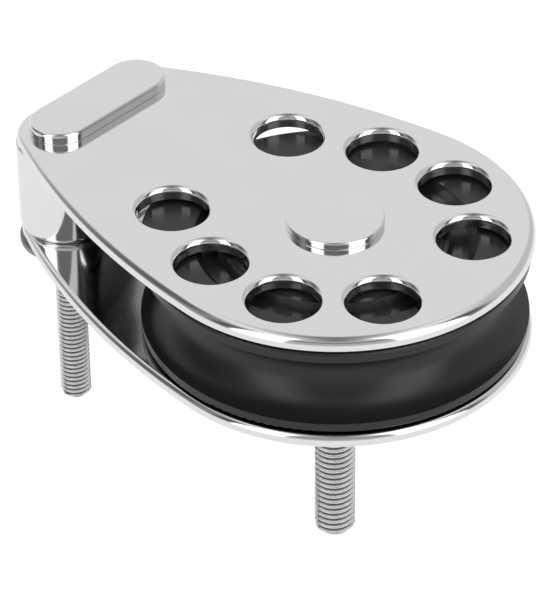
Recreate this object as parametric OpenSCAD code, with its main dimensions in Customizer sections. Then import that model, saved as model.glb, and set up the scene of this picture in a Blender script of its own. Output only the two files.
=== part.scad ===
// Ship's deck block: a foot block that lies flat on deck and turns a rope round one large sheave.
// A tail spacer and an axle hold two polished cheek plates apart, and three studs go through the deck.
// Millimetres. The origin is on the axle line at deck level, +X points to the nose, +Z points up.

/* [Cheek plates] */
// Radius of the round nose
nose_r = 61; // [60.6:0.1:63]
// Radius of the long bowed flanks
flank_r = 264; // [230:1:320]
// Distance from the axle back to the tail studs
tail_back = 99.7; // [94:0.1:106]
// Half the distance between the two tail studs
tail_half = 16.3; // [15:0.1:18]
// Radius of the two tail corners
tail_r = 14.6; // [13.6:0.1:15.6]
// How far the tail spacer stands out past the plates
spacer_over = 0.4; // [0:0.1:1]
// Thickness of each plate
plate_t = 4.5; // [4.2:0.1:5.5]
// Rounding of the rims of the base plate and of the foot of the tail spacer
rim_r = 2; // [1:0.1:2]
// Rounding of the upper rim of the top plate
top_rim_r = 2.8; // [1.6:0.1:2.9]
// Rounding of the lower rim of the top plate
under_rim_r = 1.2; // [0.6:0.1:1.2]
// Clearance between each face of the sheave and its plate
side_gap = 1; // [0.8:0.1:2]

/* [Lightening holes] */
// Narrowest width of each hole
hole_d = 22; // [18:0.1:22.4]
// Rounding of the upper edge of each hole
hole_lip = 1.9; // [0.6:0.1:2]
// Rounding of the lower edge of each hole
hole_foot_lip = 0.5; // [0.3:0.1:1]
// Radius of the ring of six holes
ring_r = 42.5; // [41:0.1:44]
// Angle of the two front holes either side of the nose line
front_angle = 30; // [28:0.5:32]
// Angle of the two middle holes
middle_angle = 70.4; // [68:0.2:73]
// Angle of the two rear holes of the ring
rear_angle = 110.4; // [107:0.2:113]
// Distance of the tail pair of holes behind the axle
pair_back = 42.5; // [41.5:0.1:46]
// Half the distance between the tail pair of holes
pair_half = 26.8; // [26:0.1:28]

/* [Sheave] */
// Outer width of the sheave
sheave_d = 120; // [117:0.5:120]
// Thickness of the sheave
sheave_w = 29; // [27:0.1:33]
// Radius of the rope groove
groove_r = 11.3; // [9:0.1:11.8]
// Rounding of the flange corners
flange_edge = 0.8; // [0.4:0.1:1.2]
// Wall between each bearing cover and the shallow trough in the face
trough_wall = 1.4; // [1:0.1:2.4]
// Width of the trough
trough_w = 8.7; // [6:0.1:10]
// Depth of the trough
trough_depth = 2.5; // [1:0.1:4]

/* [Axle and bearing] */
// Width of the axle
axle_d = 20; // [18:0.1:21]
// Outer width of the inner sleeve
sleeve_d = 32; // [30:0.1:33]
// Width of the bearing rollers
roller_d = 6; // [5.4:0.1:6.4]
// How far the bush ends sit below the faces of the sheave
bush_sink = 6.5; // [6.4:0.1:8]
// Number of bearing rollers
roller_count = 14; // [8:1:14]
// Wall of the bush pressed into the sheave
bush_wall = 4; // [3.8:0.1:4.4]
// Width of the side thrust balls
ball_d = 4; // [3.4:0.1:4.2]
// Number of balls in each ring
ball_count = 22; // [12:1:24]
// Radial play of rolling and turning parts
run_gap = 0.04; // [0.02:0.01:0.08]
// Radial play of parts that are put together and stay still
seat_gap = 0.05; // [0.02:0.01:0.1]

/* [Bearing covers] */
// Width of the band of each cover ring on the sheave
cover_w = 6.6; // [5.8:0.1:7.2]
// Thickness of the cover rings
cover_t = 1.8; // [1.4:0.1:2.2]
// Thread width of the cover screws
screw_d = 3; // [2.5:0.1:3.5]
// Head width of the cover screws
screw_head_d = 5; // [4.4:0.1:5.4]
// Number of cover screws on each face
screw_count = 6; // [3:1:8]

/* [Caps and feet] */
// Width of the round axle cap and of the foot below it
cap_d = 30.4; // [27:0.1:34]
// Height of the axle cap
cap_h = 2.4; // [2:0.1:4]
// Rounding of the top edge of the axle cap
cap_edge = 0.6; // [0.2:0.1:0.8]
// End radius of the long tail cap
head_r = 9.7; // [9.4:0.1:11]
// How far the round ends of the tail cap reach past the stud lines
head_over = 1.1; // [0:0.1:1.8]
// Height of the tail cap
head_h = 3.6; // [2.4:0.1:5]
// Rounding of the top edge of the tail cap
head_edge = 1.1; // [0.4:0.1:1.4]
// Rounding of the lower edge of both caps, which leaves a fine joint line on the plate
cap_foot_edge = 0.3; // [0.1:0.1:0.4]
// Height of the feet under the base plate
foot_h = 2; // [1.5:0.1:4]
// How far the tail foot stands out past the plate
foot_over = 0.8; // [0:0.1:1]

/* [Studs] */
// Thread width of the axle stud
axle_stud_d = 13; // [10:0.1:14]
// Reach of the axle stud below deck level
axle_stud_reach = 77.4; // [40:0.1:120]
// Thread width of the tail studs
tail_stud_d = 10; // [8:0.1:10.6]
// Reach of the tail studs below deck level
tail_stud_reach = 63.2; // [30:0.1:120]
// Thread width of the stub under the axle cap
stub_d = 10; // [8:0.1:12]

/* [Hidden] */
$fn = 96;
wide_fn = 180;
flank_fn = 480;
small_fn = 48;
screw_fn = 32;
eps = 0.01;
// How far a cutter runs past the face it opens
past = 1;

// Heights
plate_gap = sheave_w + 2 * side_gap;
base_z = foot_h;
gap_z = base_z + plate_t;
top_z = gap_z + plate_gap;
cap_z = top_z + plate_t;
mid_z = gap_z + plate_gap / 2;

// Plan outline: the flank arc touches the nose arc and the tail corner arc from inside.
// The directions where they touch are rounded, so that neighbouring arcs end in one plane.
function rounded(value) = round(value * 1000) / 1000;
tail_dist = norm([tail_back, tail_half]);
to_nose = flank_r - nose_r;
to_tail = flank_r - tail_r;
along = (to_nose * to_nose - to_tail * to_tail + tail_dist * tail_dist) / (2 * tail_dist);
across = sqrt(to_nose * to_nose - along * along);
tail_line = atan2(tail_half, -tail_back);
nose_angle = rounded(tail_line + atan2(across, along) - 180);
flank_x = -to_nose * cos(nose_angle);
flank_y = -to_nose * sin(nose_angle);
tail_angle = rounded(atan2(tail_half - flank_y, -tail_back - flank_x));
corner_x = flank_x + to_tail * cos(tail_angle);
corner_y = flank_y + to_tail * sin(tail_angle);
plate_lap = 5;
flank_depth = nose_r + plate_lap;
core_lap = 3;
core_end = corner_x - corner_y * cos(tail_angle) / sin(tail_angle) + core_lap;

// Axle stack
axle_r = axle_d / 2;
sheave_r = sheave_d / 2;
sleeve_r = sleeve_d / 2;
roller_pitch = sleeve_r + roller_d / 2;
bush_in = sleeve_r + roller_d;
bush_out = bush_in + bush_wall;
bush_land = 1;
bush_half = sheave_w / 2 - bush_sink;
roller_l = 2 * (bush_half - bush_land);
cage_end = 0.9;
cage_play = 0.4;
ball_pitch = bush_in + bush_wall / 2;
ball_z = bush_half + ball_d / 2 + run_gap;
ball_cage_wall = 0.5;
ball_cage_share = 0.3;
ball_cage_half = ball_d * ball_cage_share;
race_low = bush_half + ball_d + 2 * run_gap;
race_wall = 2.5;
race_skirt = sleeve_r + race_wall;
race_out = bush_out;
race_play = 0.8;
cover_in = race_out + race_play;
cover_lap = 0.4;
pocket_r = cover_in + cover_lap;
cover_r = cover_in + cover_w;
trough_in = cover_r + trough_wall;
trough_out = trough_in + trough_w;
cover_drop = 0.3;
cover_high = sheave_w / 2 - cover_drop;
cover_low = cover_high - cover_t;
screw_ring = (pocket_r + cover_r) / 2;
screw_start = -50;
screw_depth = 5.5;
screw_head_r = screw_head_d / 2;
screw_head_h = screw_head_r - screw_d / 2;

// Threads, bores and small gaps
cap_r = cap_d / 2;
axle_stud_r = axle_stud_d / 2;
tail_stud_r = tail_stud_d / 2;
stub_r = stub_d / 2;
screw_r = screw_d / 2;
stud_play = 0.3;
stud_bore_r = tail_stud_r + stud_play;
stud_hold = 22;
stub_l = 10;
cap_skin = 1.6;
tail_bore_top = cap_z + head_h - cap_skin;
head_lap = 1.7;
tongue_r = head_r - head_lap;
end_gap = 0.4;
skirt_gap = 0.2;
pocket_play = 0.06;
tip = 1.8;
relief = 0.8;
relief_h = 1.2;
foot_bevel = 0.4;
cover_bevel = 0.4;
drive_r = 1.1;
drive_depth = 0.7;

// Lightening holes
hole_r = hole_d / 2;
lip_sink = 0.01;
hole_spots = concat(
    [for (side = [1, -1], angle = [front_angle, middle_angle, rear_angle])
        [ring_r * cos(angle), side * ring_r * sin(angle)]],
    [for (side = [1, -1]) [-pair_back, side * pair_half]]);

// Edge profile: x runs outward from 0 to reach, the outer corners may be rounded
module edge_profile(reach, height, low, high) {
    union() {
        polygon(concat(
            [[0, 0]],
            low > 0 ? [[reach - low, 0], [reach - low, low], [reach, low]] : [[reach, 0]],
            high > 0
                ? [[reach, height - high], [reach - high, height - high], [reach - high, height]]
                : [[reach, height]],
            [[0, height]]));
        if (high > 0)
            intersection() {
                translate([reach - high, height - high]) circle(r = high);
                translate([reach - high - eps, height - high - eps]) square(high + 2 * eps);
            }
        if (low > 0)
            intersection() {
                translate([reach - low, low]) circle(r = low);
                translate([reach - low - eps, -eps]) square(low + 2 * eps);
            }
    }
}

// Moves its children in two steps, the second under a micron, so that neighbouring arcs meet
module place(x, y) {
    translate([rounded(x), rounded(y), 0])
        translate([x - rounded(x), y - rounded(y), 0])
            children();
}

// One flank with its tail corner and half of the tail edge, on the far side
module plate_side(low, high, tail_low) {
    place(flank_x, flank_y)
        rotate_extrude(start = nose_angle, angle = tail_angle - nose_angle, $fn = flank_fn)
            translate([flank_r - flank_depth, 0])
                edge_profile(flank_depth, plate_t, low, high);
    place(corner_x, corner_y) {
        rotate_extrude(start = tail_angle, angle = 180 - tail_angle)
            edge_profile(tail_r, plate_t, tail_low, high);
        rotate([90, 0, 0])
            linear_extrude(height = tail_half + plate_lap)
                mirror([1, 0]) edge_profile(tail_r, plate_t, tail_low, high);
    }
}

// A whole plate without its holes, lying on z = 0. Its lower rim is rounded by low, its upper
// rim by high, and the lower edge of the tail by tail_low
module plate_blank(low, high, tail_low) {
    union() {
        rotate_extrude(start = -nose_angle, angle = 2 * nose_angle, $fn = wide_fn)
            edge_profile(nose_r, plate_t, low, high);
        plate_side(low, high, tail_low);
        mirror([0, 1, 0]) plate_side(low, high, tail_low);
        translate([corner_x - core_lap, -corner_y - core_lap, 0])
            cube([core_end - corner_x + core_lap, 2 * (corner_y + core_lap), plate_t]);
    }
}

// A bar with round ends across the tail; half is the distance from its middle to each end centre
module tail_bar(half, reach, height, low, high) {
    union() {
        for (side = [1, -1])
            translate([-tail_back, side * half, 0])
                rotate([0, 0, side > 0 ? 0 : 180])
                    rotate_extrude(angle = 180)
                        edge_profile(reach, height, low, high);
        for (side = [0, 1])
            translate([-tail_back, side == 0 ? half : -half, 0])
                rotate([90, 0, side * 180])
                    linear_extrude(height = 2 * half)
                        edge_profile(reach, height, low, high);
    }
}

// Straight bores on both tail stud lines
module tail_bores(bore_r, from_z, to_z) {
    for (side = [1, -1])
        translate([-tail_back, side * tail_half, from_z])
            cylinder(h = to_z - from_z, r = bore_r);
}

// Cutter for a lightening hole with rounded edges, wide above and narrow below
module lip_hole(x, y) {
    translate([x, y, 0])
        rotate_extrude()
            difference() {
                translate([0, -past]) square([hole_r + hole_lip, plate_t + 2 * past]);
                translate([hole_r + hole_lip, plate_t - hole_lip + lip_sink]) circle(r = hole_lip);
                translate([hole_r + hole_foot_lip, hole_foot_lip - lip_sink])
                    circle(r = hole_foot_lip);
                translate([hole_r, hole_foot_lip - lip_sink])
                    square([2 * hole_lip, plate_t - hole_lip - hole_foot_lip + 2 * lip_sink]);
                translate([hole_r + hole_foot_lip, -lip_sink]) square([2 * hole_lip, plate_t / 2]);
            }
}

// Ring with a square section
module ring(inner, outer, from_z, to_z) {
    translate([0, 0, from_z])
        difference() {
            cylinder(h = to_z - from_z, r = outer);
            translate([0, 0, -past]) cylinder(h = to_z - from_z + 2 * past, r = inner);
        }
}

// Stud with a bevelled tip at each end and a thread relief just above deck level
module stud(radius, low_z, high_z) {
    rotate_extrude($fn = small_fn)
        polygon([[0, low_z], [radius - tip, low_z], [radius, low_z + tip],
            [radius, 0], [radius - relief, 0], [radius - relief, relief_h], [radius, relief_h],
            [radius, high_z - tip], [radius - tip, high_z], [0, high_z]]);
}

module top_plate() {
    color([0.84, 0.84, 0.84])
        difference() {
            translate([0, 0, top_z]) plate_blank(under_rim_r, top_rim_r, 0);
            translate([0, 0, top_z]) for (spot = hole_spots) lip_hole(spot[0], spot[1]);
            translate([0, 0, top_z - past]) cylinder(h = plate_t + 2 * past, r = axle_r + seat_gap);
            translate([0, 0, top_z - past])
                tail_bar(tail_half, tongue_r + seat_gap, plate_t + 2 * past, 0, 0);
        }
}

module base_plate() {
    color([0.84, 0.84, 0.84])
        difference() {
            translate([0, 0, base_z]) plate_blank(rim_r, rim_r, rim_r);
            translate([0, 0, base_z - past]) cylinder(h = plate_t + 2 * past, r = axle_r + seat_gap);
            tail_bores(stud_bore_r, base_z - past, gap_z + past);
        }
}

module tail_spacer() {
    color([0.82, 0.82, 0.83])
        difference() {
            translate([0, 0, gap_z]) tail_bar(tail_half, tail_r + spacer_over, plate_gap, rim_r, 0);
            tail_bores(stud_bore_r, gap_z - past, top_z + past);
        }
}

module tail_cap() {
    color([0.84, 0.84, 0.84])
        difference() {
            union() {
                translate([0, 0, cap_z])
                    tail_bar(tail_half + head_over, head_r, head_h, cap_foot_edge, head_edge);
                translate([0, 0, top_z]) tail_bar(tail_half, tongue_r, plate_t + eps, 0, 0);
            }
            tail_bores(tail_stud_r + seat_gap, top_z - past, tail_bore_top);
        }
}

module tail_foot() {
    color([0.6, 0.6, 0.61])
        difference() {
            tail_bar(tail_half, tail_r + foot_over, foot_h, foot_bevel, 0);
            tail_bores(tail_stud_r + seat_gap, -past, foot_h + past);
        }
}

module tail_studs() {
    color([0.62, 0.62, 0.62])
        for (side = [1, -1])
            translate([-tail_back, side * tail_half, 0])
                stud(tail_stud_r, -tail_stud_reach, tail_bore_top - end_gap);
}

module axle() {
    color([0.75, 0.75, 0.77])
        difference() {
            translate([0, 0, base_z]) cylinder(h = cap_z - base_z, r = axle_r);
            translate([0, 0, base_z - past])
                cylinder(h = stud_hold + past, r = axle_stud_r + seat_gap);
            translate([0, 0, cap_z - stub_l - end_gap])
                cylinder(h = stub_l + end_gap + past, r = stub_r + seat_gap);
        }
}

module axle_cap() {
    color([0.84, 0.84, 0.84])
        union() {
            translate([0, 0, cap_z])
                rotate_extrude() edge_profile(cap_r, cap_h, cap_foot_edge, cap_edge);
            translate([0, 0, cap_z - stub_l]) cylinder(h = stub_l + eps, r = stub_r);
        }
}

module axle_foot() {
    color([0.6, 0.6, 0.61])
        difference() {
            rotate_extrude() edge_profile(cap_r, foot_h, foot_bevel, 0);
            translate([0, 0, -past]) cylinder(h = foot_h + 2 * past, r = axle_stud_r + seat_gap);
        }
}

module axle_stud() {
    color([0.62, 0.62, 0.62])
        stud(axle_stud_r, -axle_stud_reach, base_z + stud_hold - past - end_gap);
}

module inner_sleeve() {
    color([0.7, 0.71, 0.74]) ring(axle_r + seat_gap, sleeve_r, gap_z, top_z);
}

// Stationary race, drawn for the upper side with z measured from the middle of the sheave
module race() {
    rotate_extrude()
        polygon([[sleeve_r + seat_gap, bush_half + skirt_gap], [race_skirt, bush_half + skirt_gap],
            [race_skirt, race_low], [race_out, race_low], [race_out, plate_gap / 2],
            [sleeve_r + seat_gap, plate_gap / 2]]);
}

module upper_race() {
    color([0.7, 0.71, 0.74]) translate([0, 0, mid_z]) race();
}

module lower_race() {
    color([0.7, 0.71, 0.74]) translate([0, 0, mid_z]) mirror([0, 0, 1]) race();
}

// Half section of the sheave, z measured from its middle
module sheave_section() {
    half = sheave_w / 2;
    difference() {
        translate([0, -half]) edge_profile(sheave_r, sheave_w, flange_edge, flange_edge);
        translate([sheave_r, 0]) circle(r = groove_r);
        translate([-past, -half - past]) square([bush_out + seat_gap + past, sheave_w + 2 * past]);
        for (side = [1, -1])
            mirror([0, side > 0 ? 0 : 1]) {
                translate([-past, bush_half]) square([pocket_r + past, half]);
                translate([-past, cover_low]) square([cover_r + seat_gap + past, half]);
                polygon([[trough_in, half + past], [trough_in, half],
                    [trough_in + trough_depth / 2, half - trough_depth],
                    [trough_out - trough_depth, half - trough_depth],
                    [trough_out, half], [trough_out, half + past]]);
            }
    }
}

module sheave() {
    color([0.07, 0.07, 0.08])
        translate([0, 0, mid_z])
            difference() {
                rotate_extrude($fn = wide_fn) sheave_section();
                for (side = [1, -1], i = [0 : screw_count - 1])
                    rotate([0, 0, screw_start + i * 360 / screw_count])
                        mirror([0, 0, side > 0 ? 0 : 1])
                            translate([screw_ring, 0, cover_low - screw_depth - end_gap])
                                cylinder(h = sheave_w, r = screw_r + seat_gap, $fn = screw_fn);
            }
}

module outer_bush() {
    color([0.66, 0.67, 0.7]) ring(bush_in, bush_out, mid_z - bush_half, mid_z + bush_half);
}

// Cutter for a countersunk screw hole, z measured from the middle of the sheave
module countersink() {
    rotate_extrude($fn = screw_fn)
        polygon([[0, cover_low - past], [screw_r + seat_gap, cover_low - past],
            [screw_r + seat_gap, cover_high - screw_head_h],
            [screw_head_r + seat_gap, cover_high], [screw_head_r + seat_gap, cover_high + past],
            [0, cover_high + past]]);
}

// Cover ring for the upper face, z measured from the middle of the sheave
module cover() {
    difference() {
        rotate_extrude()
            polygon([[cover_in, cover_low], [cover_r, cover_low],
                [cover_r, cover_high - cover_bevel], [cover_r - cover_bevel, cover_high],
                [cover_in, cover_high]]);
        for (i = [0 : screw_count - 1])
            rotate([0, 0, screw_start + i * 360 / screw_count])
                translate([screw_ring, 0, 0]) countersink();
    }
}

// Ring of countersunk screws for the upper face, z measured from the middle of the sheave
module cover_screws() {
    for (i = [0 : screw_count - 1])
        rotate([0, 0, screw_start + i * 360 / screw_count])
            translate([screw_ring, 0, 0])
                difference() {
                    rotate_extrude($fn = screw_fn)
                        polygon([[0, cover_low - screw_depth], [screw_r, cover_low - screw_depth],
                            [screw_r, cover_high - screw_head_h], [screw_head_r, cover_high],
                            [0, cover_high]]);
                    translate([0, 0, cover_high - drive_depth])
                        cylinder(h = drive_depth + past, r = drive_r, $fn = 6);
                }
}

module upper_cover() {
    color([0.1, 0.1, 0.11]) translate([0, 0, mid_z]) cover();
}

module lower_cover() {
    color([0.1, 0.1, 0.11]) translate([0, 0, mid_z]) mirror([0, 0, 1]) cover();
}

module upper_cover_screws() {
    color([0.25, 0.25, 0.26]) translate([0, 0, mid_z]) cover_screws();
}

module lower_cover_screws() {
    color([0.25, 0.25, 0.26]) translate([0, 0, mid_z]) mirror([0, 0, 1]) cover_screws();
}

module roller_cage() {
    cage_half = roller_l / 2 + cage_end;
    pocket_half = roller_l / 2 + pocket_play;
    color([0.85, 0.83, 0.75])
        translate([0, 0, mid_z])
            difference() {
                ring(sleeve_r + cage_play, bush_in - cage_play, -cage_half, cage_half);
                for (i = [0 : roller_count - 1])
                    rotate([0, 0, i * 360 / roller_count])
                        translate([roller_pitch, 0, -pocket_half])
                            cylinder(h = 2 * pocket_half, r = roller_d / 2 + pocket_play,
                                $fn = small_fn);
            }
}

module rollers() {
    color([0.35, 0.28, 0.15])
        for (i = [0 : roller_count - 1])
            rotate([0, 0, i * 360 / roller_count])
                translate([roller_pitch, 0, mid_z - roller_l / 2])
                    cylinder(h = roller_l, r = roller_d / 2 - run_gap, $fn = small_fn);
}

// Ball cage for the upper side, z measured from the middle of the sheave
module ball_cage() {
    wall_out = ball_d / 2 + pocket_play + ball_cage_wall;
    difference() {
        ring(ball_pitch - wall_out, ball_pitch + wall_out,
            ball_z - ball_cage_half, ball_z + ball_cage_half);
        for (i = [0 : ball_count - 1])
            rotate([0, 0, i * 360 / ball_count])
                translate([ball_pitch, 0, ball_z - ball_cage_half - past])
                    cylinder(h = 2 * (ball_cage_half + past), r = ball_d / 2 + pocket_play,
                        $fn = small_fn);
    }
}

// Ring of balls for the upper side, z measured from the middle of the sheave
module balls() {
    for (i = [0 : ball_count - 1])
        rotate([0, 0, i * 360 / ball_count])
            translate([ball_pitch, 0, ball_z])
                sphere(d = ball_d, $fn = small_fn);
}

module upper_ball_cage() {
    color([0.85, 0.83, 0.75]) translate([0, 0, mid_z]) ball_cage();
}

module lower_ball_cage() {
    color([0.85, 0.83, 0.75]) translate([0, 0, mid_z]) mirror([0, 0, 1]) ball_cage();
}

module upper_balls() {
    color([0.9, 0.9, 0.88]) translate([0, 0, mid_z]) balls();
}

module lower_balls() {
    color([0.9, 0.9, 0.88]) translate([0, 0, mid_z]) mirror([0, 0, 1]) balls();
}

top_plate();
base_plate();
tail_spacer();
tail_cap();
tail_foot();
tail_studs();
axle();
axle_cap();
axle_foot();
axle_stud();
inner_sleeve();
upper_race();
lower_race();
sheave();
outer_bush();
upper_cover();
lower_cover();
upper_cover_screws();
lower_cover_screws();
roller_cage();
rollers();
upper_ball_cage();
upper_balls();
lower_ball_cage();
lower_balls();
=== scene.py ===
"""Looks for the ship's deck block: mirror polished steel, a black sheave and threaded studs."""
import math

import bmesh
import bpy
from mathutils import Matrix, Vector


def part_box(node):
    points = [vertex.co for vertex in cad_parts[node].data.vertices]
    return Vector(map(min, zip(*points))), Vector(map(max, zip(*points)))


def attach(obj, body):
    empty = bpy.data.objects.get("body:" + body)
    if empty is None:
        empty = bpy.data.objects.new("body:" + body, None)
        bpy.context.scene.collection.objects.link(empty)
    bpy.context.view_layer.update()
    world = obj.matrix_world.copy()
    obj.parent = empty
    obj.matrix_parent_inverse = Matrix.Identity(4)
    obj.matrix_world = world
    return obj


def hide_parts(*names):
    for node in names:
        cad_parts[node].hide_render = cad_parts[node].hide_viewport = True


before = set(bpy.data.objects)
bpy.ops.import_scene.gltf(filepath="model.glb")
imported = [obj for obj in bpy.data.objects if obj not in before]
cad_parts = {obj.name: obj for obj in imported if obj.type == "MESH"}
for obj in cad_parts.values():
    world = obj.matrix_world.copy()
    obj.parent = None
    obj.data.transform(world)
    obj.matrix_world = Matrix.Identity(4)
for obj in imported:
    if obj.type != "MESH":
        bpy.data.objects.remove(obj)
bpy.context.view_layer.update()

MM = 0.001

# Camera: the viewing angle of the photograph, at 553 x 594
VIEW_AZIMUTH = 41.7988
VIEW_ELEVATION = 35.9118
VIEW_ROLL = -0.6589
EYE = Vector((573.698, -668.799, 651.986)) * MM
LENS = 213.656
SENSOR = 36.0
CLIP_START = 0.01
CLIP_END = 20.0

# The floor lies just under the tip of the longest stud; it glows as much as each kind of ray needs
FLOOR_Z = -78.3 * MM
FLOOR_HALF = 4.0
FLOOR_GREY = 0.4
FLOOR_SEEN = 0.8
FLOOR_MIRRORED = 0.64

# Light levels of the studio, as the polished steel mirrors them
WALL_BEHIND = 0.83
LOW_WALL = 0.75
CEILING = 0.22
OVERHEAD = 0.98
CAMERA_SHADE = 0.17
SOFTBOX = 2.1

# The studio's wall: bearing in degrees from the camera, negative to its left, and level there
WALL = ((-180, WALL_BEHIND), (-130, WALL_BEHIND), (-116, 0.3), (-104, 0.14), (-93, 0.12),
        (-86, 0.28), (-74, 0.28), (-68, 0.1), (-57, 0.1), (-26, 0.48), (30, 0.48), (74, 0.1),
        (84, 0.14), (92, 0.5), (100, 0.6), (147, 0.6), (164, WALL_BEHIND), (180, WALL_BEHIND))

# Rises in degrees between which the wall passes into the ceiling, and the floor's glow into the wall
CEILING_RISE = (42.0, 72.0)
LOW_WALL_RISE = (-30.0, 24.0)
# How far from straight above the bright strips beside the dark ceiling are at full level
OVERHEAD_ASIDE = 0.36

# Patches on the wall: bearing from and to, rise from and to, and width of the soft edge, in degrees
CAMERA_SHADE_PATCH = (-28.0, 31.0, 31.0, 41.0, 4.0)
LEFT_SOFTBOX_PATCH = (-57.0, -28.0, -8.0, 62.0, 2.0)
RIGHT_SOFTBOX_PATCH = (31.4, 71.7, -8.0, 70.0, 2.0)

# Cheek plates: the same driving sizes as the CAD plates
NOSE_RADIUS = 61.0 * MM
FLANK_RADIUS = 264.0 * MM
TAIL_RADIUS = 14.6 * MM
TAIL_STUD_BACK = 99.7 * MM
TAIL_STUD_HALF = 16.3 * MM
BASE_RIM = 2.0 * MM
TOP_RIM = 2.8 * MM
UNDER_RIM = 1.2 * MM
SHARP_RIM = 0.02 * MM
HOLE_RADIUS = 11.0 * MM
HOLE_LIP = 1.9 * MM
HOLE_FOOT_LIP = 0.5 * MM
HOLE_RING = 42.5 * MM
HOLE_ANGLES = (30.0, 70.4, 110.4)
PAIR_BACK = 42.5 * MM
PAIR_HALF = 26.8 * MM
AXLE_BORE = 10.05 * MM
STUD_BORE = 5.3 * MM
SLOT_RADIUS = 8.05 * MM
RIM_STEPS = 12
LIP_FOOT_STEPS = RIM_STEPS // 2
ARC_STEP = math.radians(1.5)
FLANK_STEP = ARC_STEP / 4.0
CIRCLE_STEP = ARC_STEP * 2.0
CREASE = math.radians(35.0)

# Studs: places and widths follow the CAD nodes, the thread pitch is counted in the photograph
AXLE_STUD_RADIUS = 6.5 * MM
AXLE_STUD_PITCH = 2.07 * MM
TAIL_STUD_RADIUS = 5.0 * MM
TAIL_STUD_PITCH = 1.7 * MM
THREAD_SEGMENTS = 72
THREAD_DEPTH_SHARE = 0.6
# One turn of the thread: share of the pitch, and share of the depth below the crest
THREAD_PROFILE = ((0.0, 0.0), (0.16, 0.0), (0.32, 0.5), (0.5, 1.0), (0.66, 1.0))
# Rows of each turn, the root of the thread, that get the dark colour painted as shade
THREAD_PAINTED_SHADE_ROWS = (2, 3)
THREAD_SPARE_TURNS = 3
THREAD_RUN_IN = 2.0
STUD_TIP = 1.8 * MM
STUD_RELIEF = 0.8 * MM
STUD_RELIEF_HEIGHT = 1.2 * MM
SHANK_FOOT_TAPER = 0.2 * MM
SHANK_FOOT_DEPTH = 0.5 * MM

# Which nodes share each finish
FINISHES = {
    "polished_steel": ("top_plate", "base_plate", "tail_spacer", "tail_cap", "axle_cap"),
    "turned_steel": ("axle", "inner_sleeve", "upper_race", "lower_race", "outer_bush"),
    "blasted_steel": ("tail_foot", "axle_foot"),
    "threaded_steel": ("tail_studs", "axle_stud"),
    "black_anodised": ("sheave",),
    "black_plastic": ("upper_cover", "lower_cover"),
    "screw_steel": ("upper_cover_screws", "lower_cover_screws"),
    "cage_plastic": ("roller_cage", "upper_ball_cage", "lower_ball_cage"),
    "roller_plastic": ("rollers",),
    "ball_plastic": ("upper_balls", "lower_balls"),
}


def make_camera():
    """Camera that the photograph was fitted to."""
    azimuth = math.radians(VIEW_AZIMUTH)
    elevation = math.radians(VIEW_ELEVATION)
    roll = math.radians(VIEW_ROLL)
    back = Vector((math.sin(azimuth) * math.cos(elevation),
                   -math.cos(azimuth) * math.cos(elevation),
                   math.sin(elevation)))
    level = Vector((math.cos(azimuth), math.sin(azimuth), 0.0))
    upright = back.cross(level)
    right = level * math.cos(roll) + upright * math.sin(roll)
    up = upright * math.cos(roll) - level * math.sin(roll)
    data = bpy.data.cameras.new("camera")
    data.lens = LENS
    data.sensor_width = SENSOR
    data.clip_start = CLIP_START
    data.clip_end = CLIP_END
    camera = bpy.data.objects.new("camera", data)
    bpy.context.scene.collection.objects.link(camera)
    turn = Matrix((right, up, back)).transposed().to_4x4()
    camera.matrix_world = Matrix.Translation(EYE) @ turn
    bpy.context.scene.camera = camera


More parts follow.
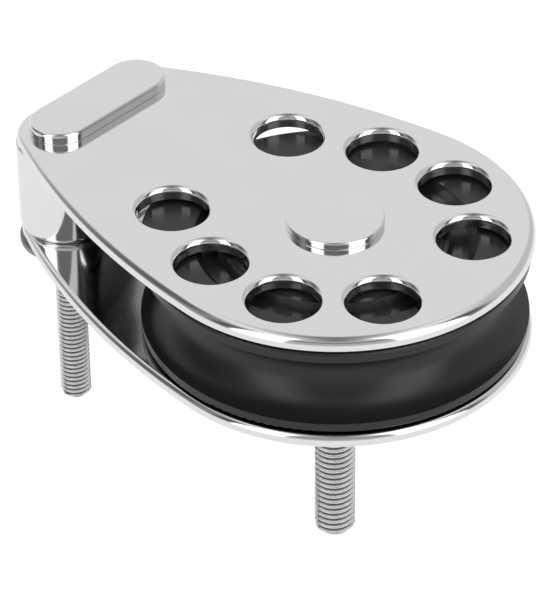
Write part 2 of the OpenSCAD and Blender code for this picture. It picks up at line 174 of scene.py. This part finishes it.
class Nodes:
    """A node tree with short calls for the nodes used here."""

    def __init__(self, tree):
        self.tree = tree
        self.tree.nodes.clear()

    def add(self, kind, **settings):
        node = self.tree.nodes.new(kind)
        for name, value in settings.items():
            setattr(node, name, value)
        return node

    def feed(self, socket, value):
        if isinstance(value, bpy.types.NodeSocket):
            self.tree.links.new(value, socket)
        else:
            socket.default_value = value

    def math(self, operation, *values):
        node = self.add("ShaderNodeMath", operation=operation)
        for socket, value in zip(node.inputs, values):
            self.feed(socket, value)
        return node.outputs[0]

    def step(self, value, low, high, to_low=0.0, to_high=1.0):
        """Soft passage from one level to another while the value goes from low to high."""
        node = self.add("ShaderNodeMapRange", interpolation_type="SMOOTHSTEP")
        node.inputs["From Min"].default_value = low
        node.inputs["From Max"].default_value = high
        node.inputs["To Min"].default_value = to_low
        node.inputs["To Max"].default_value = to_high
        self.feed(node.inputs["Value"], value)
        return node.outputs["Result"]

    def ramp(self, value, stops):
        """Grey level by straight lines between stops of (value, level)."""
        node = self.add("ShaderNodeValToRGB")
        elements = node.color_ramp.elements
        while len(elements) < len(stops):
            elements.new(0.5)
        for element, (position, level) in zip(elements, stops):
            element.position = position
            element.color = (level, level, level, 1.0)
        self.feed(node.inputs["Fac"], value)
        return node.outputs["Color"]

    def mix(self, factor, first, second):
        node = self.add("ShaderNodeMix", data_type="FLOAT")
        self.feed(node.inputs[0], factor)
        self.feed(node.inputs[2], first)
        self.feed(node.inputs[3], second)
        return node.outputs[0]

    def blend(self, factor, first, second):
        node = self.add("ShaderNodeMix", data_type="RGBA")
        self.feed(node.inputs[0], factor)
        node.inputs[6].default_value = (*first, 1.0)
        node.inputs[7].default_value = (*second, 1.0)
        return node.outputs[2]

    def position(self):
        return self.add("ShaderNodeTexCoord").outputs["Object"]

    def stretched(self, x, y, z):
        """The place on the object, drawn out so that a pattern runs in streaks."""
        node = self.add("ShaderNodeMapping")
        node.inputs["Scale"].default_value = (x, y, z)
        self.tree.links.new(self.position(), node.inputs["Vector"])
        return node.outputs["Vector"]

    def turned(self, out_scale, up_scale):
        """Distance from the axle line and height: what changes across marks left by a lathe."""
        axes = self.add("ShaderNodeSeparateXYZ")
        self.tree.links.new(self.position(), axes.inputs["Vector"])
        square = self.math("ADD", self.math("POWER", axes.outputs["X"], 2.0),
                           self.math("POWER", axes.outputs["Y"], 2.0))
        join = self.add("ShaderNodeCombineXYZ")
        self.feed(join.inputs["X"], self.math("MULTIPLY", self.math("SQRT", square), out_scale))
        self.feed(join.inputs["Y"], self.math("MULTIPLY", axes.outputs["Z"], up_scale))
        return join.outputs["Vector"]

    def noise(self, vector, scale, detail):
        node = self.add("ShaderNodeTexNoise")
        node.inputs["Scale"].default_value = scale
        node.inputs["Detail"].default_value = detail
        self.tree.links.new(vector, node.inputs["Vector"])
        return node.outputs[0]

    def bump(self, height, depth):
        node = self.add("ShaderNodeBump")
        node.inputs["Strength"].default_value = 1.0
        node.inputs["Distance"].default_value = depth
        self.tree.links.new(height, node.inputs["Height"])
        return node.outputs["Normal"]

    def surface(self, colour, metallic, roughness, normal, gloss=0.5):
        shader = self.add("ShaderNodeBsdfPrincipled")
        self.feed(shader.inputs["Base Color"], colour)
        self.feed(shader.inputs["Metallic"], metallic)
        self.feed(shader.inputs["Roughness"], roughness)
        self.feed(shader.inputs["Normal"], normal)
        shader.inputs["Specular IOR Level"].default_value = gloss
        out = self.add("ShaderNodeOutputMaterial")
        self.tree.links.new(shader.outputs[0], out.inputs["Surface"])


def studio_light():
    """Soft studio round the block, drawn by direction: two softboxes either side of the camera."""
    world = bpy.data.worlds.new("studio")
    bpy.context.scene.world = world
    world.use_nodes = True
    n = Nodes(world.node_tree)
    place = n.add("ShaderNodeTexCoord")
    turn = n.add("ShaderNodeVectorRotate", rotation_type="Z_AXIS")
    turn.inputs["Angle"].default_value = math.radians(90.0 - VIEW_AZIMUTH)
    n.tree.links.new(place.outputs["Generated"], turn.inputs["Vector"])
    axes = n.add("ShaderNodeSeparateXYZ")
    n.tree.links.new(turn.outputs["Vector"], axes.inputs["Vector"])
    side = n.math("DEGREES", n.math("ARCTAN2", axes.outputs["Y"], axes.outputs["X"]))
    rise = n.math("DEGREES", n.math("ARCSINE", axes.outputs["Z"]))
    round_share = n.math("DIVIDE", n.math("ADD", side, 180.0), 360.0)

    def patch(start, end, low, high, edge):
        across = n.math("MULTIPLY", n.step(side, start - edge, start + edge),
                        n.step(side, end - edge, end + edge, 1.0, 0.0))
        upward = n.math("MULTIPLY", n.step(rise, low - edge, low + edge),
                        n.step(rise, high - edge, high + edge, 1.0, 0.0))
        return n.math("MULTIPLY", across, upward)

    level = n.ramp(round_share, [((bearing + 180.0) / 360.0, level) for bearing, level in WALL])
    aside = n.math("ABSOLUTE", axes.outputs["Y"])
    ceiling = n.step(aside, 0.0, OVERHEAD_ASIDE, CEILING, OVERHEAD)
    level = n.mix(n.step(rise, *CEILING_RISE), level, ceiling)
    level = n.mix(n.step(rise, *LOW_WALL_RISE, 1.0, 0.0), level, LOW_WALL)
    level = n.mix(patch(*CAMERA_SHADE_PATCH), level, CAMERA_SHADE)
    level = n.mix(patch(*LEFT_SOFTBOX_PATCH), level, SOFTBOX)
    level = n.mix(patch(*RIGHT_SOFTBOX_PATCH), level, SOFTBOX)
    light = n.add("ShaderNodeBackground")
    n.feed(light.inputs["Strength"], level)
    backdrop = n.add("ShaderNodeBackground")
    rays = n.add("ShaderNodeLightPath")
    choose = n.add("ShaderNodeMixShader")
    n.feed(choose.inputs[0], rays.outputs["Is Camera Ray"])
    n.tree.links.new(light.outputs[0], choose.inputs[1])
    n.tree.links.new(backdrop.outputs[0], choose.inputs[2])
    out = n.add("ShaderNodeOutputWorld")
    n.tree.links.new(choose.outputs[0], out.inputs["Surface"])
    for background in (light, backdrop):
        background.inputs["Color"].default_value = (1.0, 1.0, 1.0, 1.0)
    backdrop.inputs["Strength"].default_value = 1.0


def start(name):
    material = bpy.data.materials.new(name)
    material.use_nodes = True
    return material, Nodes(material.node_tree)


def floor_material():
    """Pale floor that keeps the block's shadow and shows white to the camera and in the steel."""
    material, n = start("pale_floor")
    matt = n.add("ShaderNodeBsdfDiffuse")
    matt.inputs["Color"].default_value = (FLOOR_GREY, FLOOR_GREY, FLOOR_GREY, 1.0)
    rays = n.add("ShaderNodeLightPath")
    seen = n.math("MULTIPLY", rays.outputs["Is Camera Ray"], FLOOR_SEEN)
    mirrored = n.math("MULTIPLY", n.math("MAXIMUM", rays.outputs["Is Glossy Ray"],
                                         rays.outputs["Is Transmission Ray"]), FLOOR_MIRRORED)
    glow = n.add("ShaderNodeEmission")
    n.feed(glow.inputs["Strength"], n.math("ADD", seen, mirrored))
    both = n.add("ShaderNodeAddShader")
    n.tree.links.new(matt.outputs[0], both.inputs[0])
    n.tree.links.new(glow.outputs[0], both.inputs[1])
    out = n.add("ShaderNodeOutputMaterial")
    n.tree.links.new(both.outputs[0], out.inputs["Surface"])
    return material


def make_floor():
    half = FLOOR_HALF
    mesh = bpy.data.meshes.new("floor")
    mesh.from_pydata([(-half, -half, FLOOR_Z), (half, -half, FLOOR_Z),
                      (half, half, FLOOR_Z), (-half, half, FLOOR_Z)], [], [(0, 1, 2, 3)])
    floor = bpy.data.objects.new("floor", mesh)
    bpy.context.scene.collection.objects.link(floor)
    mesh.materials.append(floor_material())


def polished_steel():
    """Mirror polish with faint handling smears and a few hair-fine wipe marks."""
    material, n = start("polished_steel")
    smears = n.noise(n.position(), 45.0, 4.0)
    wipes = n.noise(n.stretched(300.0, 4000.0, 900.0), 1.0, 3.0)
    roughness = n.math("ADD", n.step(smears, 0.35, 0.8, 0.07, 0.11),
                       n.step(wipes, 0.62, 0.75, 0.0, 0.05))
    colour = n.blend(smears, (0.82, 0.82, 0.825), (0.77, 0.77, 0.77))
    n.surface(colour, 1.0, roughness, n.bump(wipes, 0.4e-6))
    return material


def turned_steel():
    """Plain stainless steel with fine lathe marks, a little darker where it was never polished."""
    material, n = start("turned_steel")
    marks = n.noise(n.turned(9000.0, 9000.0), 1.0, 3.0)
    patches = n.noise(n.position(), 60.0, 3.0)
    colour = n.blend(patches, (0.7, 0.7, 0.71), (0.58, 0.58, 0.58))
    n.surface(colour, 1.0, n.step(marks, 0.3, 0.7, 0.2, 0.34), n.bump(marks, 3e-6))
    return material


def blasted_steel():
    """Feet under the base plate: steel with an even, dull blasted skin."""
    material, n = start("blasted_steel")
    grain = n.noise(n.position(), 2400.0, 3.0)
    patches = n.noise(n.position(), 80.0, 3.0)
    colour = n.blend(patches, (0.3, 0.3, 0.305), (0.24, 0.24, 0.245))
    n.surface(colour, 1.0, n.step(grain, 0.3, 0.7, 0.38, 0.5), n.bump(grain, 6e-6))
    return material


def threaded_steel(name, first, second, low, high):
    """Rolled thread: dull stainless steel, with short drag marks round the stud; given dark colours,
    the same finish paints shade into the thread roots.
    """
    material, n = start(name)
    drag = n.noise(n.stretched(500.0, 500.0, 6000.0), 1.0, 4.0)
    dirt = n.noise(n.stretched(900.0, 900.0, 2600.0), 1.0, 4.0)
    colour = n.blend(n.step(dirt, 0.4, 0.8), first, second)
    n.surface(colour, 1.0, n.step(drag, 0.3, 0.7, low, high), n.bump(drag, 3e-6))
    return material


def black_anodised():
    """Satin black aluminium, turned: the marks run round the sheave and soften its highlights."""
    material, n = start("black_anodised")
    marks = n.noise(n.turned(7000.0, 7000.0), 1.0, 3.0)
    cloud = n.noise(n.position(), 30.0, 3.0)
    colour = n.blend(cloud, (0.012, 0.013, 0.015), (0.018, 0.019, 0.021))
    n.surface(colour, 0.0, n.step(cloud, 0.3, 0.7, 0.27, 0.32), n.bump(marks, 1.5e-6),
              gloss=0.42)
    return material


def moulded(name, first, second, low, high, grain):
    """Moulded plastic with a fine grain and a slightly uneven colour."""
    material, n = start(name)
    cloud = n.noise(n.position(), 70.0, 3.0)
    pores = n.noise(n.position(), 2600.0, 2.0)
    n.surface(n.blend(cloud, first, second), 0.0, n.step(pores, 0.3, 0.7, low, high),
              n.bump(pores, grain))
    return material


def screw_steel():
    """Dull dark screws with faint wear round the drive socket."""
    material, n = start("screw_steel")
    wear = n.noise(n.position(), 900.0, 4.0)
    colour = n.blend(n.step(wear, 0.4, 0.7), (0.28, 0.28, 0.29), (0.42, 0.42, 0.42))
    n.surface(colour, 1.0, n.step(wear, 0.3, 0.7, 0.28, 0.4), n.bump(wear, 4e-6))
    return material


def make_materials():
    """Every finish by name, with a dark colour painted as shade on the bottom of the studs' threads.
    """
    return {
        "polished_steel": polished_steel(),
        "turned_steel": turned_steel(),
        "blasted_steel": blasted_steel(),
        "threaded_steel": threaded_steel("threaded_steel", (0.8, 0.795, 0.79),
                                         (0.62, 0.61, 0.6), 0.14, 0.24),
        # Painted shade: a dark steel colour on the thread roots, in place of the shade that falls in
        # them
        "painted_root_shade": threaded_steel("painted_root_shade", (0.2, 0.195, 0.19),
                                      (0.12, 0.115, 0.11), 0.36, 0.5),
        "black_anodised": black_anodised(),
        "black_plastic": moulded("black_plastic", (0.028, 0.028, 0.03), (0.036, 0.036, 0.038),
                                 0.4, 0.52, 8e-6),
        "screw_steel": screw_steel(),
        "cage_plastic": moulded("cage_plastic", (0.83, 0.8, 0.71), (0.78, 0.75, 0.66),
                                0.42, 0.55, 6e-6),
        "roller_plastic": moulded("roller_plastic", (0.3, 0.24, 0.12), (0.25, 0.19, 0.09),
                                  0.25, 0.34, 2e-6),
        "ball_plastic": moulded("ball_plastic", (0.86, 0.86, 0.84), (0.82, 0.82, 0.79),
                                0.16, 0.24, 1e-6),
    }


def arc(centre, radius, first, last, most=ARC_STEP):
    """Points of an arc with their outward directions, the end point left out."""
    count = max(2, math.ceil(abs(last - first) / most))
    for step in range(count):
        angle = first + (last - first) * step / count
        out = (math.cos(angle), math.sin(angle))
        yield (centre[0] + radius * out[0], centre[1] + radius * out[1]), out


def plate_outline():
    """Outline of a cheek plate as (point, outward direction, whether it belongs to the tail)."""
    tail = math.hypot(TAIL_STUD_BACK, TAIL_STUD_HALF)
    to_nose = FLANK_RADIUS - NOSE_RADIUS
    to_tail = FLANK_RADIUS - TAIL_RADIUS
    along = (to_nose ** 2 - to_tail ** 2 + tail ** 2) / (2.0 * tail)
    across = math.sqrt(to_nose ** 2 - along ** 2)
    tail_line = math.atan2(TAIL_STUD_HALF, -TAIL_STUD_BACK)
    nose_angle = tail_line + math.atan2(across, along) - math.pi
    flank = (-to_nose * math.cos(nose_angle), -to_nose * math.sin(nose_angle))
    tail_angle = math.atan2(TAIL_STUD_HALF - flank[1], -TAIL_STUD_BACK - flank[0])
    half = [(point, out, False) for point, out in arc((0.0, 0.0), NOSE_RADIUS, 0.0, nose_angle)]
    half += [(point, out, False) for point, out
             in arc(flank, FLANK_RADIUS, nose_angle, tail_angle, FLANK_STEP)]
    half += [(point, out, True) for point, out
             in arc((-TAIL_STUD_BACK, TAIL_STUD_HALF), TAIL_RADIUS, tail_angle, math.pi)]
    half.append(((-TAIL_STUD_BACK - TAIL_RADIUS, TAIL_STUD_HALF), (-1.0, 0.0), True))
    mirrored = [((x, -y), (out_x, -out_y), at_tail)
                for (x, y), (out_x, out_y), at_tail in reversed(half[1:])]
    return half + mirrored


def circle(x, y, radius):
    return [point for point, out in arc((x, y), radius, 0.0, math.tau, CIRCLE_STEP)]


def slot_loop():
    """Outline of the slot for the tail cap's tongue."""
    centre = (-TAIL_STUD_BACK, TAIL_STUD_HALF)
    end = [point for point, out in arc(centre, SLOT_RADIUS, 0.0, math.pi, CIRCLE_STEP)]
    end.append((-TAIL_STUD_BACK - SLOT_RADIUS, TAIL_STUD_HALF))
    return end + [(x, -y) for x, y in reversed(end)]


def wall(mesh, loops):
    """Joins loops of (x, y, z) points, one above the other, and returns the end loops' edges."""
    rings = [[mesh.verts.new(point) for point in loop] for loop in loops]
    for lower, upper in zip(rings, rings[1:]):
        for here in range(len(lower)):
            after = (here + 1) % len(lower)
            mesh.faces.new((lower[here], lower[after], upper[after], upper[here]))
    ends = []
    for ring in (rings[0], rings[-1]):
        ends.append([mesh.edges.get((ring[here], ring[(here + 1) % len(ring)]))
                     for here in range(len(ring))])
    return ends


def rim_loops(low_z, high_z, low, high, tail_low):
    """Loops round the plate, from its lower face over both rounded rims to its upper face."""
    outline = plate_outline()
    loops = []
    for step in range(RIM_STEPS + 1):
        turn = math.pi / 2.0 * step / RIM_STEPS
        loop = []
        for (x, y), (out_x, out_y), at_tail in outline:
            reach = tail_low if at_tail else low
            inset = reach * (1.0 - math.sin(turn))
            loop.append((x - inset * out_x, y - inset * out_y,
                         low_z + reach * (1.0 - math.cos(turn))))
        loops.append(loop)
    for step in range(RIM_STEPS + 1):
        turn = math.pi / 2.0 * step / RIM_STEPS
        inset = high * (1.0 - math.cos(turn))
        z = high_z - high * (1.0 - math.sin(turn))
        loops.append([(x - inset * out_x, y - inset * out_y, z)
                      for (x, y), (out_x, out_y), at_tail in outline])
    return loops


def hole_loops(x, y, low_z, high_z):
    """Loops of one lightening hole with its narrow lower and wide upper rounding."""
    loops = []
    for step in range(LIP_FOOT_STEPS + 1):
        turn = math.pi / 2.0 * step / LIP_FOOT_STEPS
        radius = HOLE_RADIUS + HOLE_FOOT_LIP * (1.0 - math.sin(turn))
        z = low_z + HOLE_FOOT_LIP * (1.0 - math.cos(turn))
        loops.append([(px, py, z) for px, py in circle(x, y, radius)])
    for step in range(RIM_STEPS + 1):
        turn = math.pi / 2.0 * step / RIM_STEPS
        radius = HOLE_RADIUS + HOLE_LIP * (1.0 - math.cos(turn))
        z = high_z - HOLE_LIP * (1.0 - math.sin(turn))
        loops.append([(px, py, z) for px, py in circle(x, y, radius)])
    return loops


def straight_loops(points, low_z, high_z):
    """Loops of a plain bore or slot."""
    return [[(x, y, z) for x, y in points] for z in (low_z, high_z)]


def hole_spots():
    """Centres of the eight lightening holes."""
    for side in (1.0, -1.0):
        for degrees in HOLE_ANGLES:
            angle = math.radians(degrees)
            yield HOLE_RING * math.cos(angle), side * HOLE_RING * math.sin(angle)
        yield -PAIR_BACK, side * PAIR_HALF


def cheek_plate(name, node, rims, lip_holes, bores, material):
    """A cheek plate with finely divided rims and lips, so that they mirror without kinks."""
    low_corner, high_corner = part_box(node)
    low_z = low_corner[2]
    high_z = high_corner[2]
    mesh = bmesh.new()
    shells = [rim_loops(low_z, high_z, *rims)]
    shells += [hole_loops(x, y, low_z, high_z) for x, y in lip_holes]
    shells += [straight_loops(points, low_z, high_z) for points in bores]
    lower_edges = []
    upper_edges = []
    for loops in shells:
        lower, upper = wall(mesh, loops)
        lower_edges += lower
        upper_edges += upper
    bmesh.ops.triangle_fill(mesh, use_beauty=True, edges=lower_edges)
    bmesh.ops.triangle_fill(mesh, use_beauty=True, edges=upper_edges)
    bmesh.ops.recalc_face_normals(mesh, faces=mesh.faces[:])
    data = bpy.data.meshes.new(name)
    mesh.to_mesh(data)
    mesh.free()
    data.shade_smooth()
    data.set_sharp_from_angle(angle=CREASE)
    data.materials.append(material)
    plate = bpy.data.objects.new(name, data)
    bpy.context.scene.collection.objects.link(plate)
    even = plate.modifiers.new("even_faces", "WEIGHTED_NORMAL")
    even.keep_sharp = True
    even.weight = 100
    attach(plate, "frame")
    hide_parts(node)


def make_plates(material):
    """Both cheek plates; rims are the roundings below, above, and below at the tail."""
    studs = [(-TAIL_STUD_BACK, side * TAIL_STUD_HALF) for side in (1.0, -1.0)]
    cheek_plate("top_cheek", "top_plate", (UNDER_RIM, TOP_RIM, SHARP_RIM), list(hole_spots()),
                [circle(0.0, 0.0, AXLE_BORE), slot_loop()], material)
    cheek_plate("base_cheek", "base_plate", (BASE_RIM, BASE_RIM, BASE_RIM), [],
                [circle(0.0, 0.0, AXLE_BORE)] + [circle(x, y, STUD_BORE) for x, y in studs],
                material)


def thread(mesh, centre, radius, pitch, low):
    """Helical thread from a bevelled tip at height low up to deck level, cut flat at both ends."""
    depth = pitch * THREAD_DEPTH_SHARE
    rows_per_turn = len(THREAD_PROFILE)
    turns = math.ceil(-low / pitch) + THREAD_SPARE_TURNS
    rows = []
    for row in range(turns * rows_per_turn):
        share, sunk = THREAD_PROFILE[row % rows_per_turn]
        start_z = low - THREAD_RUN_IN * pitch + (row // rows_per_turn + share) * pitch
        ring = []
        for step in range(THREAD_SEGMENTS):
            turn = step / THREAD_SEGMENTS
            z = start_z + turn * pitch
            reach = min(radius - depth * sunk, radius - STUD_TIP + max(0.0, z - low))
            angle = math.tau * turn
            ring.append(mesh.verts.new((centre[0] + reach * math.cos(angle),
                                        centre[1] + reach * math.sin(angle), z)))
        rows.append(ring)
    for row in range(len(rows) - rows_per_turn - 1):
        for step in range(THREAD_SEGMENTS):
            last = step == THREAD_SEGMENTS - 1
            skip = rows_per_turn if last else 0
            after = 0 if last else step + 1
            face = mesh.faces.new((rows[row][step], rows[row + skip][after],
                                   rows[row + 1 + skip][after], rows[row + 1][step]))
            # The root rows get the second material, a dark colour painted as shade
            face.material_index = 1 if row % rows_per_turn in THREAD_PAINTED_SHADE_ROWS else 0
    loose = [vertex for vertex in mesh.verts if not vertex.link_faces]
    bmesh.ops.delete(mesh, geom=loose, context="VERTS")


def cut_flat(mesh, height, keep_above):
    """Cuts every shell at a height, drops one side and closes the cut."""
    everything = mesh.verts[:] + mesh.edges[:] + mesh.faces[:]
    cut = bmesh.ops.bisect_plane(mesh, geom=everything, plane_co=(0.0, 0.0, height),
                                 plane_no=(0.0, 0.0, 1.0), clear_inner=keep_above,
                                 clear_outer=not keep_above)
    edges = [item for item in cut["geom_cut"] if isinstance(item, bmesh.types.BMEdge)]
    bmesh.ops.contextual_create(mesh, geom=edges)


def shank(mesh, centre, radius, high):
    """Plain upper part of a stud, inside the block, with the relief groove just above the deck."""
    neck = radius - STUD_RELIEF
    outline = ((neck - SHANK_FOOT_TAPER, -SHANK_FOOT_DEPTH), (neck, 0.0),
               (neck, STUD_RELIEF_HEIGHT), (radius, STUD_RELIEF_HEIGHT),
               (radius, high - STUD_TIP), (radius - STUD_TIP, high))
    rings = []
    for reach, z in outline:
        ring = []
        for step in range(THREAD_SEGMENTS):
            angle = math.tau * step / THREAD_SEGMENTS
            ring.append(mesh.verts.new((centre[0] + reach * math.cos(angle),
                                        centre[1] + reach * math.sin(angle), z)))
        rings.append(ring)
    for lower, upper in zip(rings, rings[1:]):
        for step in range(THREAD_SEGMENTS):
            after = (step + 1) % THREAD_SEGMENTS
            mesh.faces.new((lower[step], lower[after], upper[after], upper[step]))
    mesh.faces.new(list(reversed(rings[0])))
    mesh.faces.new(rings[-1])


def threaded_studs(name, node, centres, radius, pitch, materials):
    """Studs with a real thread in place of the plain CAD studs, to the same length and width."""
    low_corner, high_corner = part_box(node)
    low = low_corner[2]
    high = high_corner[2]
    built = bmesh.new()
    for centre in centres:
        single = bmesh.new()
        thread(single, centre, radius, pitch, low)
        cut_flat(single, low, True)
        cut_flat(single, 0.0, False)
        shank(single, centre, radius, high)
        piece = bpy.data.meshes.new("single_stud")
        single.to_mesh(piece)
        single.free()
        built.from_mesh(piece)
        bpy.data.meshes.remove(piece)
    bmesh.ops.recalc_face_normals(built, faces=built.faces[:])
    mesh = bpy.data.meshes.new(name)
    built.to_mesh(mesh)
    built.free()
    studs = bpy.data.objects.new(name, mesh)
    bpy.context.scene.collection.objects.link(studs)
    mesh.materials.append(materials["threaded_steel"])
    # Second material: the dark colour painted as shade in the thread roots
    mesh.materials.append(materials["painted_root_shade"])
    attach(studs, "frame")
    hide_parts(node)


def dress(materials):
    """Gives every CAD node its finish, and puts the finer plates and studs in their places."""
    for finish, names in FINISHES.items():
        for name in names:
            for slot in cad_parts[name].material_slots:
                slot.material = materials[finish]
    make_plates(materials["polished_steel"])
    threaded_studs("threaded_axle_stud", "axle_stud", [(0.0, 0.0)], AXLE_STUD_RADIUS,
                   AXLE_STUD_PITCH, materials)
    threaded_studs("threaded_tail_studs", "tail_studs",
                   [(-TAIL_STUD_BACK, -TAIL_STUD_HALF), (-TAIL_STUD_BACK, TAIL_STUD_HALF)],
                   TAIL_STUD_RADIUS, TAIL_STUD_PITCH, materials)


make_camera()
studio_light()
make_floor()
dress(make_materials())
bpy.context.scene.view_settings.view_transform = "Standard"
